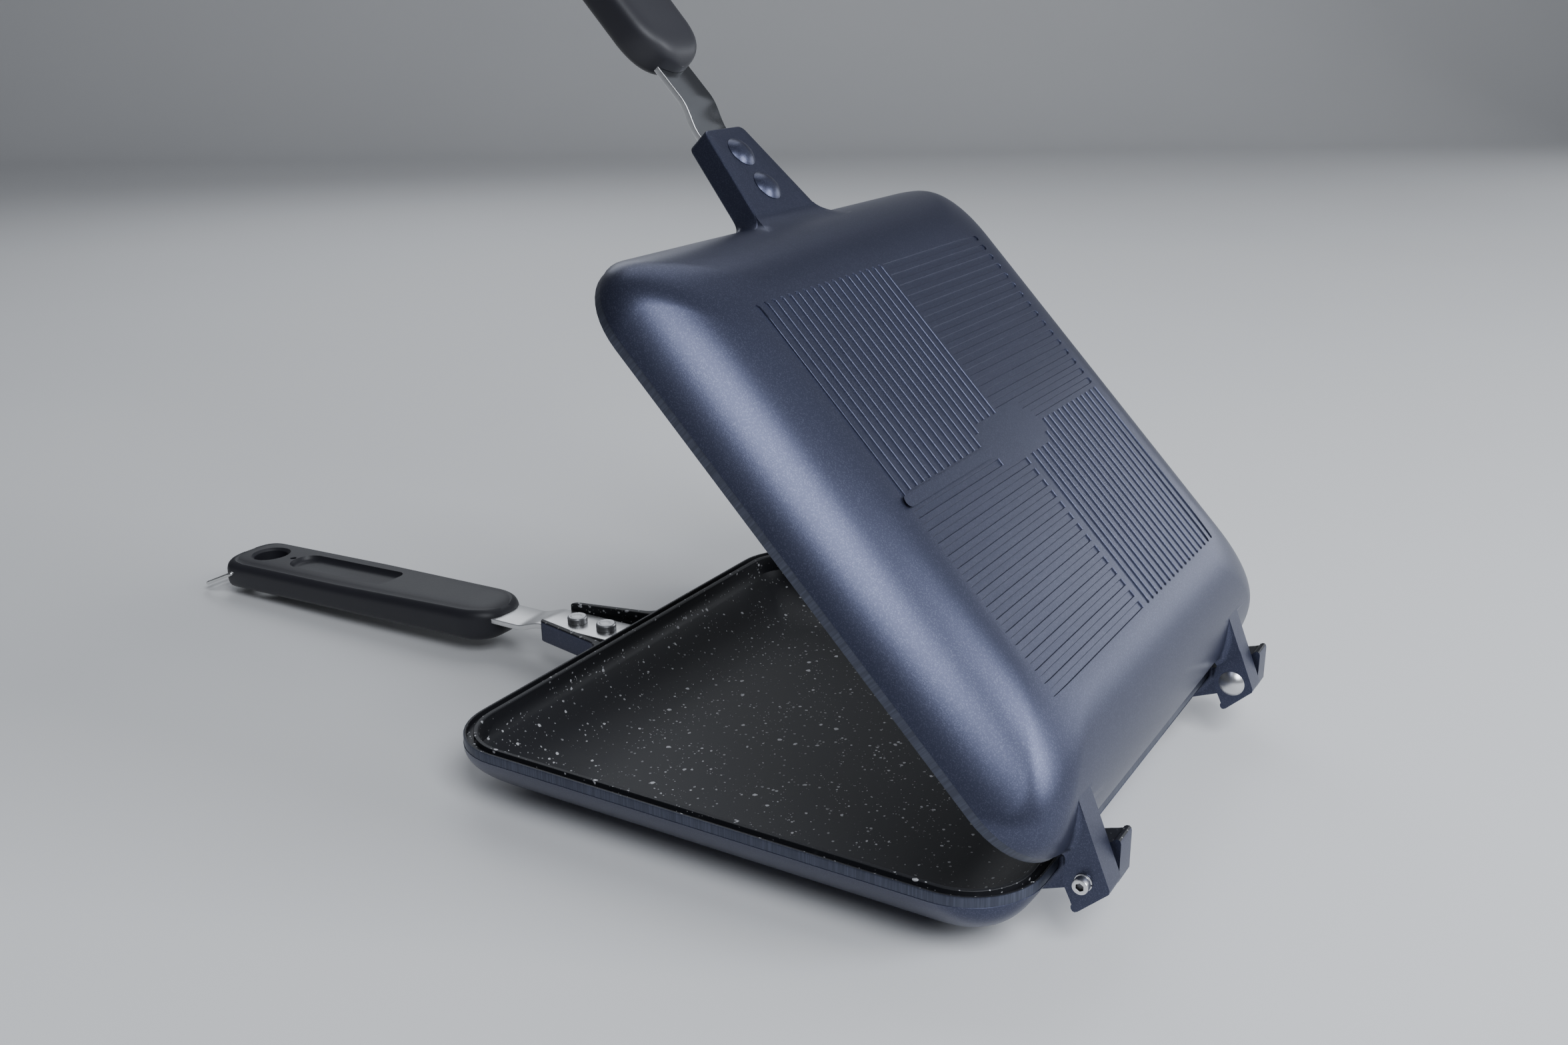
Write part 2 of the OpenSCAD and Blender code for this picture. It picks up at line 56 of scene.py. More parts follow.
# extrude a loop of edges from ring to ring, then close both ends
# finishes: one material slot for the start cap, each strip and the end cap
def loft(name, rings, start="fill", end="fill", finishes=None):
    stations = rings + [rings[0]] if end == "join" else rings
    last = len(stations) - 1
    pickNothing()
    bpy.ops.mesh.primitive_circle_add(vertices=len(rings[0]), radius=mm)
    piece = bpy.context.object
    piece.name = piece.data.name = name
    for _ in range(3):
        piece.data.materials.append(None)  # empty slots, so that cuts and joins keep the slot numbers
    bpy.ops.object.mode_set(mode="EDIT")
    bpy.ops.mesh.select_all(action="SELECT")
    for step, ring in enumerate(stations):
        if step:
            bpy.ops.mesh.extrude_edges_move()
        shape = bmesh.from_edit_mesh(piece.data)
        if not step:
            shape.verts.layers.int.new("place")
            shape.verts.layers.int.new("station")
        place = shape.verts.layers.int["place"]
        station = shape.verts.layers.int["station"]
        for i, v in enumerate(shape.verts):
            if not v.select:
                continue
            if not step:
                v[place] = i
            v[station] = step
            v.co = Vector(ring[v[place]]) * mm
        bmesh.update_edit_mesh(piece.data)
    if finishes:
        station = shape.verts.layers.int["station"]
        for f in shape.faces:
            f.material_index = finishes[max(v[station] for v in f.verts)]
    for way, where in ((start, 0), (end, last)):
        if way not in ("fill", "pole"):
            continue
        bpy.ops.mesh.select_all(action="DESELECT")
        shape = bmesh.from_edit_mesh(piece.data)
        station = shape.verts.layers.int["station"]
        for v in shape.verts:
            v.select = v[station] == where
        shape.select_flush(True)
        if way == "pole":
            bpy.ops.mesh.merge(type="CENTER")
            continue
        bpy.ops.mesh.edge_face_add()
        shape = bmesh.from_edit_mesh(piece.data)
        for f in shape.faces:
            if finishes and f.select:
                f.material_index = finishes[-1] if where else finishes[0]
    if end == "join":
        bpy.ops.mesh.select_all(action="SELECT")
        bpy.ops.mesh.remove_doubles(threshold=1e-6)
    bpy.ops.mesh.select_all(action="SELECT")
    bpy.ops.mesh.normals_make_consistent(inside=False)
    bpy.ops.object.mode_set(mode="OBJECT")
    for layer in ("place", "station"):
        piece.data.attributes.remove(piece.data.attributes[layer])
    return piece


def combine(piece, tool, operation):
    pick(piece)
    cut = piece.modifiers.new("cut", "BOOLEAN")
    cut.operation = operation
    cut.solver = "EXACT"
    cut.object = tool
    bpy.ops.object.modifier_apply(modifier=cut.name)
    mesh = tool.data
    bpy.data.objects.remove(tool)
    bpy.data.meshes.remove(mesh)
    return piece


def joinAll(name, pieces):
    pickNothing()
    for piece in pieces:
        piece.select_set(True)
    bpy.context.view_layer.objects.active = pieces[0]
    bpy.ops.object.join()
    pieces[0].name = pieces[0].data.name = name
    return pieces[0]


def copyOf(piece, name):
    pick(piece)
    bpy.ops.object.duplicate()
    twin = bpy.context.object
    twin.name = twin.data.name = name
    return twin


def settle(piece, matrix):
    pick(piece)
    piece.matrix_world = matrix
    bpy.ops.object.transform_apply(location=True, rotation=True, scale=True)
    return piece


def smooth(piece, degrees=32):
    pick(piece)
    bpy.ops.object.shade_smooth_by_angle(angle=math.radians(degrees))
    return piece


# give the faces that pass the test another material slot
def finishFaces(piece, slot, test):
    for f in piece.data.polygons:
        if test(f.center / mm, f.normal):
            f.material_index = slot


def useFinishes(piece, *finishes):
    slots = piece.data.materials
    while len(slots) > len(finishes):
        slots.pop()
    while len(slots) < len(finishes):
        slots.append(None)
    for i, finish in enumerate(finishes):
        slots[i] = finish


def at(x=0, y=0, z=0):
    return Matrix.Translation(Vector((x, y, z)) * mm)


# ---- rings

def circle(radius, z, count=48):
    return [(radius * math.cos(2 * math.pi * i / count), radius * math.sin(2 * math.pi * i / count), z)
            for i in range(count)]


# rounded rectangle; parts cuts each straight side into that many pieces
def roundRect(halfX, halfY, radius, z, steps=12, parts=1):
    ring = []
    for q in range(4):
        sx = 1 if q in (0, 3) else -1
        sy = 1 if q < 2 else -1
        for i in range(steps + 1):
            a = math.pi / 2 * (q + i / steps)
            ring.append((sx * (halfX - radius) + radius * math.cos(a),
                         sy * (halfY - radius) + radius * math.sin(a), z))
        straight = 2 * (halfY - radius if q % 2 else halfX - radius)
        x, y, _ = ring[-1]
        for k in range(1, parts):
            far = straight * k / parts
            ring.append(((x - far, y, z), (x, y - far, z), (x + far, y, z), (x, y + far, z))[q])
    return ring


def arc(cx, cy, radius, a0, a1, steps):
    return [(cx + radius * math.cos(math.radians(a0 + (a1 - a0) * i / steps)),
             cy + radius * math.sin(math.radians(a0 + (a1 - a0) * i / steps))) for i in range(steps + 1)]


# a turned piece: profile of (radius, height) along Z
def turned(name, profile, start="fill", end="fill", finishes=None, count=48):
    return loft(name, [circle(r, h, count) for r, h in profile], start, end, finishes)


# ---- pan castings

pan = {
    "halfX": 119, "halfY": 125, "height": 27.5,
    "rimTop": 27.4,
    "bend": 44, "bendX": 39.04, "bendUp": 16.5,   # big bend: radius, inset of its centre, height over the rim
    "band": 3.8, "bandIn": 0.2,
    "corner": 28, "cornerFall": 5, "cornerWaist": 40,
    "wall": 3.2, "land": 6,
    "grooveIn": 1.3, "grooveOut": 4.1, "grooveDeep": 2.2,
    "slotDeep": 0.55,
}
paintSlot, coatSlot, bandSlot = 0, 1, 2


def wallInset(depth, radius=pan["bend"]):
    return pan["bendX"] - math.sqrt(max(0, radius ** 2 - (depth + pan["bendUp"]) ** 2))


def cornerRadius(depth):
    t = max(0, (depth - pan["band"]) / (pan["height"] - pan["band"]))
    return pan["corner"] - pan["cornerFall"] * t - pan["cornerWaist"] * t * (1 - t)


def panRing(inset, radius, z):
    return roundRect(pan["halfX"] - inset, pan["halfY"] - inset, radius, z, parts=12)


# depth below the rim plane on a bend of this radius, at an angle from the horizontal
def bendDepth(radius, angle):
    return radius * math.sin(math.radians(angle)) - pan["bendUp"]


def makeShell():
    rings, slots = [], []

    def add(inset, radius, z, slot):
        rings.append(panRing(inset, radius, z))
        slots.append(slot)

    h, top = pan["height"], pan["rimTop"]
    full = pan["bendX"]
    add(full + 1.2, cornerRadius(h) - 1.2, 0, paintSlot)
    bandAngle = math.degrees(math.asin((pan["band"] + pan["bendUp"]) / pan["bend"]))
    for i in range(22):
        depth = bendDepth(pan["bend"], 90 + (bandAngle - 90) * i / 21)
        add(wallInset(depth), cornerRadius(depth), h - depth, paintSlot)
    rim = pan["corner"]
    bandIn = pan["bandIn"]
    add(bandIn, rim - bandIn, h - pan["band"] + 0.15, paintSlot)
    add(bandIn, rim - bandIn, top - 0.35, bandSlot)
    add(bandIn + 0.12, rim - bandIn - 0.12, top - 0.1, bandSlot)
    add(bandIn + 0.4, rim - bandIn - 0.4, top, bandSlot)
    g0, g1, gz = pan["grooveIn"], pan["grooveOut"], top - pan["grooveDeep"]
    for inset, z in ((g0 - 0.15, top), (g0, top - 0.15), (g0, gz), (g1, gz), (g1, top - 0.15), (g1 + 0.15, top),
                     (pan["land"] - 0.8, top), (pan["land"] - 0.3, top - 0.15), (pan["land"], top - 0.5)):
        add(inset, rim - inset, z, coatSlot)
    add(pan["land"] + 0.15, rim - 5.6, h - 4.2, coatSlot)
    inner = pan["bend"] - pan["wall"]
    for i in range(17):
        depth = bendDepth(inner, 38 + 52 * i / 16)
        add(wallInset(depth, inner), cornerRadius(depth) - 4, h - depth, coatSlot)
    add(full + 1.2, cornerRadius(h) - 5.2, pan["wall"], coatSlot)
    return loft("shell", rings, finishes=slots + [coatSlot])


handle = {
    "end": 160, "hw": 13.8, "rootHw": 21.8,
    "webLow": 16.4, "webTop": 20.6, "top": 26.3,
    "side": 3.5, "endCorner": 3.5, "rootFillet": 8,
    "rivets": (148, 131.5), "rivetHole": 2.6, "webFillet": 6,
}


def handleHw(x):
    slope = (handle["rootHw"] - handle["hw"]) / (handle["end"] - pan["halfX"])
    return handle["hw"] + (handle["end"] - x) * slope


# plan of the handle bracket, everything drawn in by t, at a height z
def bracketPlan(t, z):
    slope = (handle["rootHw"] - handle["hw"]) / (handle["end"] - pan["halfX"])
    lean = math.degrees(math.atan(slope))
    wallX = pan["halfX"] - max(0, wallInset(pan["height"] - z)) - 0.05
    fillet = handle["rootFillet"]
    cx = wallX + fillet
    cy = handleHw(cx) + fillet / math.cos(math.radians(lean))
    r = max(0.4, handle["endCorner"] - t)
    endX = handle["end"] - t
    endHw = handleHw(endX) - t
    half = arc(endX - r, endHw - r, r, 0, 90 - lean, 5)
    half += arc(cx, cy, fillet + t, 270 - lean, 180, 8)
    half.append((wallX - t - 0.6, cy))
    return bothSides(half, z)


def bothSides(half, z):
    ring = [(-x, y, z) for x, y in half]
    return ring + [(x, -y, z) for x, y, _ in reversed(ring)]


# plan of the hollow fillet under the web, which flows into the wall; turn runs from 0 at the wall to 90 at the web
def rootPlan(turn):
    r, fillet = handle["webFillet"], handle["rootFillet"]
    z = handle["webLow"] - r * (1 - math.sin(math.radians(turn)))
    wallX = pan["halfX"] - max(0, wallInset(pan["height"] - z)) - 0.05
    reach = r * (1 - math.cos(math.radians(turn)))
    cy = handleHw(wallX + fillet) + fillet
    side = [(wallX + reach * (1 - k / 8), cy - math.sqrt(fillet ** 2 - (fillet - reach * (1 - k / 8)) ** 2))
            for k in range(9)]
    edge = [(side[0][0], side[0][1] * k / 6) for k in range(1, 6)]
    return bothSides([(side[0][0], side[0][1] * 0.04)] + edge + side + [(wallX - 0.6, cy)], z)


def makeHandleBracket():
    low, top = handle["webLow"], handle["top"]
    steps = []
    for a in (0, 30, 60, 90):
        steps.append((0.7 * (1 - math.sin(math.radians(a))), low + 0.7 * (1 - math.cos(math.radians(a)))))
    steps += [(0, 20.5), (0, 22.5), (0, 24), (0, top - 0.8)]
    for a in (35, 65, 90):
        steps.append((0.8 * (1 - math.cos(math.radians(a))), top - 0.8 + 0.8 * math.sin(math.radians(a))))
    rings = [rootPlan(turn) for turn in (4, 20, 35, 50, 65, 80, 90)] + [bracketPlan(t, z) for t, z in steps]
    body = loft("bracket", rings, finishes=[paintSlot] * (len(rings) + 1))
    finishFaces(body, coatSlot, lambda c, n: c.z > top - 0.7 and n.z > 0.5)
    side = handle["side"]
    pocket = []
    for t, z in ((0.9, handle["webTop"]), (0.25, handle["webTop"] + 0.25), (0, handle["webTop"] + 0.9),
                 (0, top - 0.7), (-0.2, top - 0.2), (-0.7, top + 0.1), (-0.9, top + 4)):
        y0 = handleHw(handle["end"] + 4) - side - t
        y1 = handleHw(108) - side - t
        pocket.append([(-handle["end"] - 4, -y0, z), (-108, -y1, z), (-108, y1, z), (-handle["end"] - 4, y0, z)])
    tool = loft("pocket", pocket, finishes=[coatSlot] * (len(pocket) + 1))
    return combine(body, tool, "DIFFERENCE")


hinge = {
    "x": 131, "z": 27.5, "bore": 2.55,
    "near": (-82.9, -72.5), "far": (85.1, 95.5),
    "proud": 0.5, "millX": 121.5,        # the near bracket's root stands proud of its milled tip
    "edge": 0.4, "fillet": 3.0,
    "lowX": 120, "lowZ": 14.95, "slope": 0.395,
    "outline": [(104.8, 8.95), (137.4, 21.8), (138.3, 22.9), (138.3, 36.5), (138.0, 37.5), (137.4, 38.0),
                (136.5, 37.9), (135.7, 37.4), (135.3, 36.6), (134.9, 36.55), (133.8, 36.1), (131.5, 35.4),
                (129.1, 34.6), (127.1, 33.3), (125.8, 32.05), (123.8, 30.0), (122.9, 28.7), (121.9, 27.9),
                (120.6, 27.35), (118.2, 27.35), (118.2, 24.9), (116.5, 24.6), (115, 23), (113.5, 19),
                (111.6, 16), (108.6, 13)],
}


def makeHingeBracket(span, proud):
    y0, y1 = span
    y1 += proud
    e = hinge["edge"]
    line = hinge["outline"]
    body = loft("hingeBracket", [[(x, y, z) for x, z in line] for y in (y0, y1)], finishes=[paintSlot] * 3)
    pick(body)
    bpy.ops.object.mode_set(mode="EDIT")
    bpy.ops.mesh.select_all(action="DESELECT")
    shape = bmesh.from_edit_mesh(body.data)
    for edge in shape.edges:
        a, b = edge.verts[0].co / mm, edge.verts[1].co / mm
        onEnd = abs(a.y - b.y) < 0.01 and max(a.x, b.x) > 121
        edge.select = onEnd
    bmesh.update_edit_mesh(body.data)
    bpy.ops.mesh.bevel(offset=e * mm, segments=2, affect="EDGES")
    bpy.ops.object.mode_set(mode="OBJECT")
    finishFaces(body, coatSlot, lambda c, n: c.z > 27.3 and n.z > 0.3 and c.x > 118)
    if proud:
        tool = makeBox("mill", (hinge["millX"], y1 - proud, 0), (hinge["x"] + 20, y1 + 3, 60))
        combine(body, tool, "DIFFERENCE")
    return body


def makeBox(name, low, high):
    pickNothing()
    middle = [(a + b) / 2 * mm for a, b in zip(low, high)]
    bpy.ops.mesh.primitive_cube_add(size=1, location=middle)
    box = bpy.context.object
    box.name = name
    box.scale = [(b - a) * mm for a, b in zip(low, high)]
    bpy.ops.object.transform_apply(location=True, rotation=True, scale=True)
    return box


# the hollow fillet between a bracket's side and the wall, swept up along the wall
def makeFillet(sideY, way):
    rings = []
    path = []
    bandAngle = math.degrees(math.asin((pan["band"] + pan["bendUp"]) / pan["bend"]))
    midX = pan["halfX"] - pan["bendX"]
    midZ = pan["height"] + pan["bendUp"]
    apex = 49.5
    for i in range(13):
        a = math.radians(apex + (bandAngle - apex) * i / 12)
        path.append((midX + pan["bend"] * math.cos(a), midZ - pan["bend"] * math.sin(a), math.cos(a), -math.sin(a)))
    path.append((pan["halfX"], pan["height"] - pan["band"] + 0.8, 1, 0))
    path.append((pan["halfX"], 27.3, 1, 0))
    for x, z, nx, nz in path:
        away = (z - hinge["lowZ"] - hinge["slope"] * (x - hinge["lowX"])) * 0.94
        r = max(0.12, min(hinge["fillet"], 0.8 * away))
        ring = [(x - nx * 0.8, sideY - way * 0.8, z - nz * 0.8)]
        for k in range(9):
            f = math.radians(90 * k / 8)
            out = r - r * math.cos(f) - 0.04
            along = r - r * math.sin(f) - 0.04
            ring.append((x + nx * out, sideY + way * along, z + nz * out))
        rings.append(ring)
    return loft("hingeFillet", rings, finishes=[paintSlot] * (len(rings) + 1))


pattern = {
    "pitch": 5.03,
    "rowWide": 2.3, "columnWide": 2.6,
    "rowFrom": -78, "rowY": -85, "rowPitch": 5.0,
    "columnX": 2.0, "columnY": -85.5,
}


# a shallow slot along X or Y: round outer end, square inner end, walls drafted
def slotTool(outer, inner, across, wide, alongX):
    rings = []
    way = 1 if inner > outer else -1
    for grow, z in ((1.0, -1.0), (0.26, -0.06), (0.06, 0.12), (-0.12, 0.58), (-0.12, 4)):
        half = wide / 2 + grow
        ring = [(outer - way * half * math.sin(math.radians(a)), across + half * math.cos(math.radians(a)))
                for a in range(0, 181, 30)]
        ring += [(inner + way * grow, across - half), (inner + way * grow, across + half)]
        rings.append([(u, v, z) if alongX else (v, u, z) for u, v in ring])
    return loft("slot", rings, finishes=[paintSlot] * 6)


# an inner copy of the bottom's skin, so every slot follows the surface
def slotFloor():
    rings = []
    radius = pan["bend"] - pan["slotDeep"]
    for i in range(9):
        depth = bendDepth(radius, 90 - 5 * i)
        rings.append(panRing(wallInset(depth, radius), cornerRadius(depth + pan["slotDeep"]) - 0.6,
                             pan["height"] - depth))
    return loft("slotFloor", rings)


# rows and columns as seen from below: one quarter is rows, its neighbour columns, and the same turned half round
def makeSlots():
    rows, columns = [], []
    for i in range(18):
        y = pattern["rowY"] + pattern["rowPitch"] * i
        inner = 2.0 if i == 0 else -1.3 if i <= 12 else -6.0 if i == 13 else -9.3
        rows.append((pattern["rowFrom"], inner, y))
    for k in range(16):
        x = pattern["columnX"] + pattern["pitch"] * k
        inner = -23.4 if k == 0 else -18.8 if k == 1 else -1.0
        columns.append((pattern["columnY"], inner, x))
    otherRows = [(78, 10.5 if j <= 3 else 6.5 if j == 4 else 1.7, 4.5 + 5 * j) for j in range(17)]
    otherColumns = [(85.5, 3.3 - (inner + 1.0), -x) for _, inner, x in columns]
    tools = []
    for group, wide, alongX in ((rows + otherRows, pattern["rowWide"], True),
                                (columns + otherColumns, pattern["columnWide"], False)):
        made = []
        for outer, inner, across in group:  # this list is in the closed upper pan's frame, seen from outside
            if alongX:
                made.append(slotTool(outer, inner, -across, wide, True))
            else:
                made.append(slotTool(-outer, -inner, across, wide, False))
        tools.append(combine(joinAll("slots", made), slotFloor(), "DIFFERENCE"))
    return tools


def makeCasting():
    shell = makeShell()
    print("shell lofted")
    combine(shell, makeHandleBracket(), "UNION")
    for span, proud in ((hinge["near"], hinge["proud"]), (hinge["far"], 0)):
        combine(shell, makeHingeBracket(span, proud), "UNION")
        for sideY, way in ((span[0], -1), (span[1] + proud, 1)):
            combine(shell, makeFillet(sideY, way), "UNION")
    print("brackets joined to the shell")
    for x in handle["rivets"]:
        hole = turned("hole", [(handle["rivetHole"], handle["webLow"] - 2), (handle["rivetHole"], handle["webTop"] + 2)])
        combine(shell, settle(hole, at(-x)), "DIFFERENCE")
    for low, high in (hinge["near"], hinge["far"]):
        bore = turned("bore", [(hinge["bore"], low - 2), (hinge["bore"], high + 2)], finishes=[bandSlot] * 3)
        combine(shell, settle(bore, at(hinge["x"], 0, hinge["z"]) @ Matrix.Rotation(-math.pi / 2, 4, "X")), "DIFFERENCE")
    for tool in makeSlots():
        combine(shell, tool, "DIFFERENCE")
    print("bores and slots cut")
    return smooth(shell)


openDeg = 46.4
hingeAt = at(hinge["x"], 0, hinge["z"])
lidMatrix = (hingeAt @ Matrix.Rotation(math.radians(openDeg), 4, "Y") @ hingeAt.inverted()
             @ at(0, 0, 2 * pan["height"]) @ Matrix.Rotation(math.pi, 4, "X"))


# ---- straps and rivets

strapSize = {
    "width": 20, "thick": 2.5, "edge": 0.35,
    "inner": 122.5, "bendFrom": 161, "bendTo": 177, "tip": 256,
    "seat": 20.6, "drop": 3.7, "endCorner": 2.5,
}


def strapHeight(x):
    t = min(1, max(0, (x - strapSize["bendFrom"]) / (strapSize["bendTo"] - strapSize["bendFrom"])))
    return strapSize["seat"] - strapSize["drop"] * (1 - math.cos(math.pi * t)) / 2


def makeStrap(name):
    s = strapSize
    stops = [s["inner"] + s["endCorner"] * (1 - math.sin(math.radians(a))) for a in (90, 60, 35, 15, 0)]
    stops += [140, 150] + [s["bendFrom"] + (s["bendTo"] - s["bendFrom"]) * i / 12 for i in range(13)]
    stops += [190, 220, s["tip"] - 2, s["tip"]]
    rings = []
    for i, x in enumerate(stops):
        half = s["width"] / 2
        into = s["inner"] + s["endCorner"] - x
        if into > 0:
            half -= s["endCorner"] - math.sqrt(max(0, s["endCorner"] ** 2 - into ** 2))
        if i == len(stops) - 1:
            half -= 2
        slope = (strapHeight(x + 0.05) - strapHeight(x - 0.05)) / 0.1
        tilt = math.atan(slope)
        mid = strapHeight(x) + s["thick"] / 2
        edge = s["edge"] - (0.15 if i in (0, len(stops) - 1) else 0)
        ring = []
        for y, v, _ in roundRect(half, s["thick"] / 2, edge, 0, 3):
            ring.append((-x + v * math.sin(tilt), y, mid + v * math.cos(tilt)))
        rings.append(ring)
    body = loft(name, rings)
    for x in handle["rivets"]:
        hole = turned("hole", [(handle["rivetHole"], s["seat"] - 2), (handle["rivetHole"], s["seat"] + 5)])
        combine(body, settle(hole, at(-x)), "DIFFERENCE")
    # the sides take the second slot: a rougher steel whose lighter colour is a painted highlight
    finishFaces(body, 1, lambda c, n: abs(n.y) > 0.7)
    return smooth(body)


rivetSize = {"dome": 6.5, "domeHigh": 2.6, "rim": 0.35, "shank": 2.5, "button": 4.6, "buttonHigh": 3.3, "round": 1.0}


def makeRivet(name):
    r = rivetSize
    seat = handle["webLow"]
    top = strapSize["seat"] + strapSize["thick"]
    wide, high = r["dome"] - 0.12, r["domeHigh"] - r["rim"]
    ball = (wide ** 2 + high ** 2) / (2 * high)
    widest = math.asin(wide / ball)
    profile = [(0.02, seat - r["domeHigh"])]
    profile += [(ball * math.sin(widest * i / 12), seat - r["domeHigh"] + ball * (1 - math.cos(widest * i / 12)))
                for i in range(1, 13)]
    profile += [(r["dome"], seat - r["rim"] + 0.1), (r["dome"], seat)]
    painted = len(profile)
    profile += [(r["shank"], seat), (r["shank"], top), (r["button"] - 0.25, top), (r["button"] - 0.05, top + 0.25)]
    k, high = r["round"], top + r["buttonHigh"]
    profile += [(r["button"] - k * (1 - math.cos(math.radians(a))), high - k + k * math.sin(math.radians(a)))
                for a in (0, 25, 50, 75, 90)]
    profile += [(3.1, high), (2.8, high - 0.14), (2.4, high - 0.16), (1.9, high - 0.02), (1.0, high + 0.06), (0.02, high + 0.08)]
    finishes = [0] * (painted + 1) + [1] * (len(profile) - painted)
    return smooth(turned(name, profile, "pole", "pole", finishes))


# ---- grips

gripSize = {
    "nose": 188.1, "far": 373.1, "noseLong": 19.6, "tailLong": 10.9, "middle": 285.05,
    "width": (17.6, 19.8, 19.7), "thick": (8.8, 8.1, 8.1), "height": (15.5, 13.7, 11.4),
    "power": 3.8,
    "crease": 3.6, "creaseDeep": 0.28, "creaseWide": 0.7,
    "hangX": 353, "hangR": 8.5, "chamfer": 1.8,
    "pipX": 336, "pipR": 1.5, "pipDeep": 4,
    "recessFrom": 263.5, "recessTo": 334, "recessWide": 9.5, "recessFall": 1.7,
    "bailX": 360.5, "bailZ": 13.4565, "bailR": 1.05, "bailDeep": 15.4,
}


def gripAt(x):
    g = gripSize
    nose = max(0, 1 - (x - g["nose"]) / g["noseLong"])
    tail = max(0, 1 - (g["far"] - x) / g["tailLong"])
    first, last = g["nose"] + g["noseLong"], g["far"] - g["tailLong"]
    if x < g["middle"]:
        k = max(0, (x - first) / (g["middle"] - first))
        pair = 0
    else:
        k = min(1, (x - g["middle"]) / (last - g["middle"]))
        pair = 1
    w, t, z = [v[pair] + (v[pair + 1] - v[pair]) * k for v in (g["width"], g["thick"], g["height"])]
    w *= math.sqrt(max(0.0004, 1 - nose ** 2)) * math.sqrt(max(0.01, 1 - tail ** 1.9))
    t *= math.sqrt(max(0.04, 1 - nose ** 3.9)) * math.sqrt(max(0.2, 1 - tail ** 4))
    return w, t, z


def gripRing(x):
    g = gripSize
    w, t, zc = gripAt(x)
    fromNose = x - g["nose"] - g["crease"]
    fromEnd = g["far"] - g["crease"] - x
    inner = w - g["crease"]
    if fromNose < g["noseLong"] - g["crease"]:
        full = g["width"][0] - g["crease"]
        reach = max(0, 1 - fromNose / (g["noseLong"] - g["crease"]))
        inner = min(inner, full * math.sqrt(max(0, 1 - reach ** 2))) if reach < 1 else 0
    if fromEnd < g["tailLong"] - g["crease"] + 4:
        reach = max(0, 1 - fromEnd / (g["tailLong"] - g["crease"] + 4))
        inner = min(inner, (w - g["crease"]) * math.sqrt(max(0, 1 - reach ** 2))) if reach < 1 else 0
    live = 0.0 if inner < 1 else 1.0
    inner = max(inner, w * 0.35) if not live else inner

    def height(y):
        return t * max(0, 1 - (abs(y) / w) ** g["power"]) ** (1 / g["power"])

    top = []
    outerEdge = min(inner + g["creaseWide"] / 2, w * 0.97)
    for k in range(8):      # from the widest point up to the crease
        a = k / 7
        y = w - (w - outerEdge) * a ** 2
        top.append((y, height(y)))
    for k in range(1, 4):   # across the crease
        y = outerEdge - g["creaseWide"] * k / 3 * (1 if live else 0.02)
        top.append((y, height(y) - g["creaseDeep"] * live * (0.5 - 0.5 * math.cos(math.pi * k / 3))))
    edge = top[-1][0]
    for k in range(1, 9):   # the face
        y = edge * (1 - k / 8)
        top.append((y, height(y) - g["creaseDeep"] * live))
    bottom = []
    for k in range(1, 16):
        c = math.cos(math.radians(90 * k / 16))
        y = w * math.copysign(abs(c) ** (2 / g["power"]), c)
        bottom.append((y, -height(y)))
    bottom.append((0, -t))
    half = list(reversed(bottom)) + top       # from the lowest point round to the highest
    ring = half + [(-y, z) for y, z in reversed(half[1:-1])]
    return [(-x, y, zc + z) for y, z in ring]


# cutter for the thumb recess: a long tray, rounder at its far end
def makeRecess():
    g = gripSize
    half = (g["recessTo"] - g["recessFrom"]) / 2
    rings = []
    for drawn, z in ((3.6, -3.1), (2.5, -2.95), (1.6, -2.5), (0.95, -1.7), (0.55, -0.8), (0.3, -0.3), (0, -0.05), (-0.6, 0.15), (-1.2, 3)):
        wide = g["recessWide"] - drawn
        farR, nearR = wide - 0.3, max(1.2, 5.5 - drawn)
        ring = arc(-half + drawn + farR, wide - farR, farR, 180, 90, 8) + arc(half - drawn - nearR, wide - nearR, nearR, 90, 0, 6)
        ring = [(x, y, z) for x, y in ring]
        rings.append(ring + [(x, -y, z) for x, y, _ in reversed(ring)])
    return loft("recess", rings)


